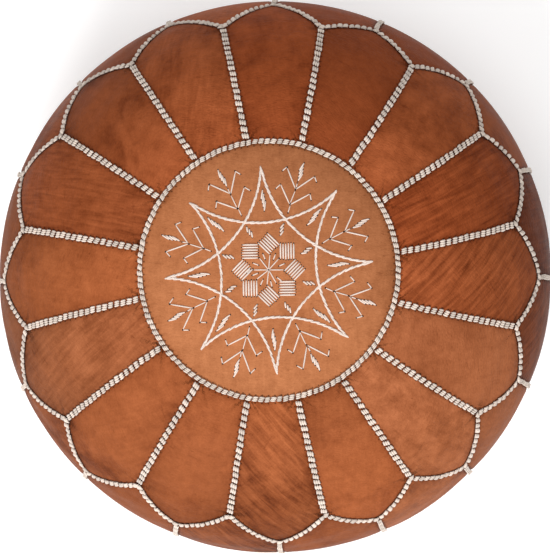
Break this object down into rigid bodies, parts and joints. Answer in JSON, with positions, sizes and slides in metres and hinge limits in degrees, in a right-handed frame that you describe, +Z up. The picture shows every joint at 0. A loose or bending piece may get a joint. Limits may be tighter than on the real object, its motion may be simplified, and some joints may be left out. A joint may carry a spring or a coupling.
{
  "type": "pouf",
  "caption": "Round stuffed leather floor pouf with petal panels, off-white laced seams, an embroidered roundel on top and a zip in the base.",
  "frame": {"origin": "centre of the base, on the floor", "axes": "+Z up, +X along the zip in the base towards its closed end"},
  "size_m": [0.5561, 0.5561, 0.3105],
  "materials": {
    "leather_roundel": "satin, lightly waxed",
    "leather_dark": "satin, hand dyed dark red-brown",
    "leather_tan": "satin, hand dyed orange tan",
    "leather_light": "satin, hand dyed light tan",
    "leather_base": "satin",
    "lacing_thread": "matt thick cotton or rayon thread",
    "embroidery_thread": "silky thread",
    "liner_cotton": "plain matt cotton",
    "filling": "matt textile stuffing",
    "zip_tape": "woven tape",
    "zip_brass": "satin"
  },
  "bodies": {
    "cover": {"roundel": "leather_roundel", "petal_01": "leather_dark", "petal_02": "leather_dark", "petal_03": "leather_dark", "petal_04": "leather_dark", "petal_05": "leather_dark", "petal_06": "leather_dark", "petal_07": "leather_dark", "petal_08": "leather_tan", "petal_09": "leather_light", "petal_10": "leather_tan", "petal_11": "leather_tan", "petal_12": "leather_light", "petal_13": "leather_tan", "petal_14": "leather_light", "petal_15": "leather_tan", "petal_16": "leather_dark", "side_panel_01": "leather_dark", "side_panel_02": "leather_dark", "side_panel_03": "leather_dark", "side_panel_04": "leather_dark", "side_panel_05": "leather_dark", "side_panel_06": "leather_dark", "side_panel_07": "leather_dark", "side_panel_08": "leather_tan", "side_panel_09": "leather_light", "side_panel_10": "leather_tan", "side_panel_11": "leather_tan", "side_panel_12": "leather_light", "side_panel_13": "leather_tan", "side_panel_14": "leather_light", "side_panel_15": "leather_tan", "side_panel_16": "leather_dark", "base_panel_left": "leather_base", "base_panel_right": "leather_base", "zip_end_patch_front": "leather_base", "zip_end_patch_back": "leather_base", "top_lacing": "lacing_thread", "side_lacing": "lacing_thread", "embroidered_star": "embroidery_thread", "embroidered_tree_1": "embroidery_thread", "embroidered_tree_2": "embroidery_thread", "embroidered_tree_3": "embroidery_thread", "embroidered_tree_4": "embroidery_thread", "embroidered_tree_5": "embroidery_thread", "embroidered_tree_6": "embroidery_thread", "embroidered_tree_7": "embroidery_thread", "embroidered_tree_8": "embroidery_thread", "liner_bag": "liner_cotton", "filling": "filling", "zip_tape_left": "zip_tape", "zip_tape_right": "zip_tape", "zip_teeth_left": "zip_brass", "zip_teeth_right": "zip_brass", "zip_top_stop_left": "zip_brass", "zip_top_stop_right": "zip_brass", "zip_bottom_stop": "zip_brass"},
    "slider": {"zip_slider": "zip_brass"},
    "pull_tab": {"zip_pull_tab": "zip_brass"}
  },
  "joints": [
    {"name": "zip_slide", "type": "slide", "parent": "cover", "child": "slider", "axis": [-1, 0, 0], "range_m": [0, 0.3275], "deforming": ["zip_teeth_left", "zip_teeth_right"]},
    {"name": "pull_tab_swing", "type": "hinge", "parent": "slider", "child": "pull_tab", "pos_m": [0.1639, 0, 0.00285], "axis": [0, -1, 0], "range_deg": [0, 170]}
  ]
}
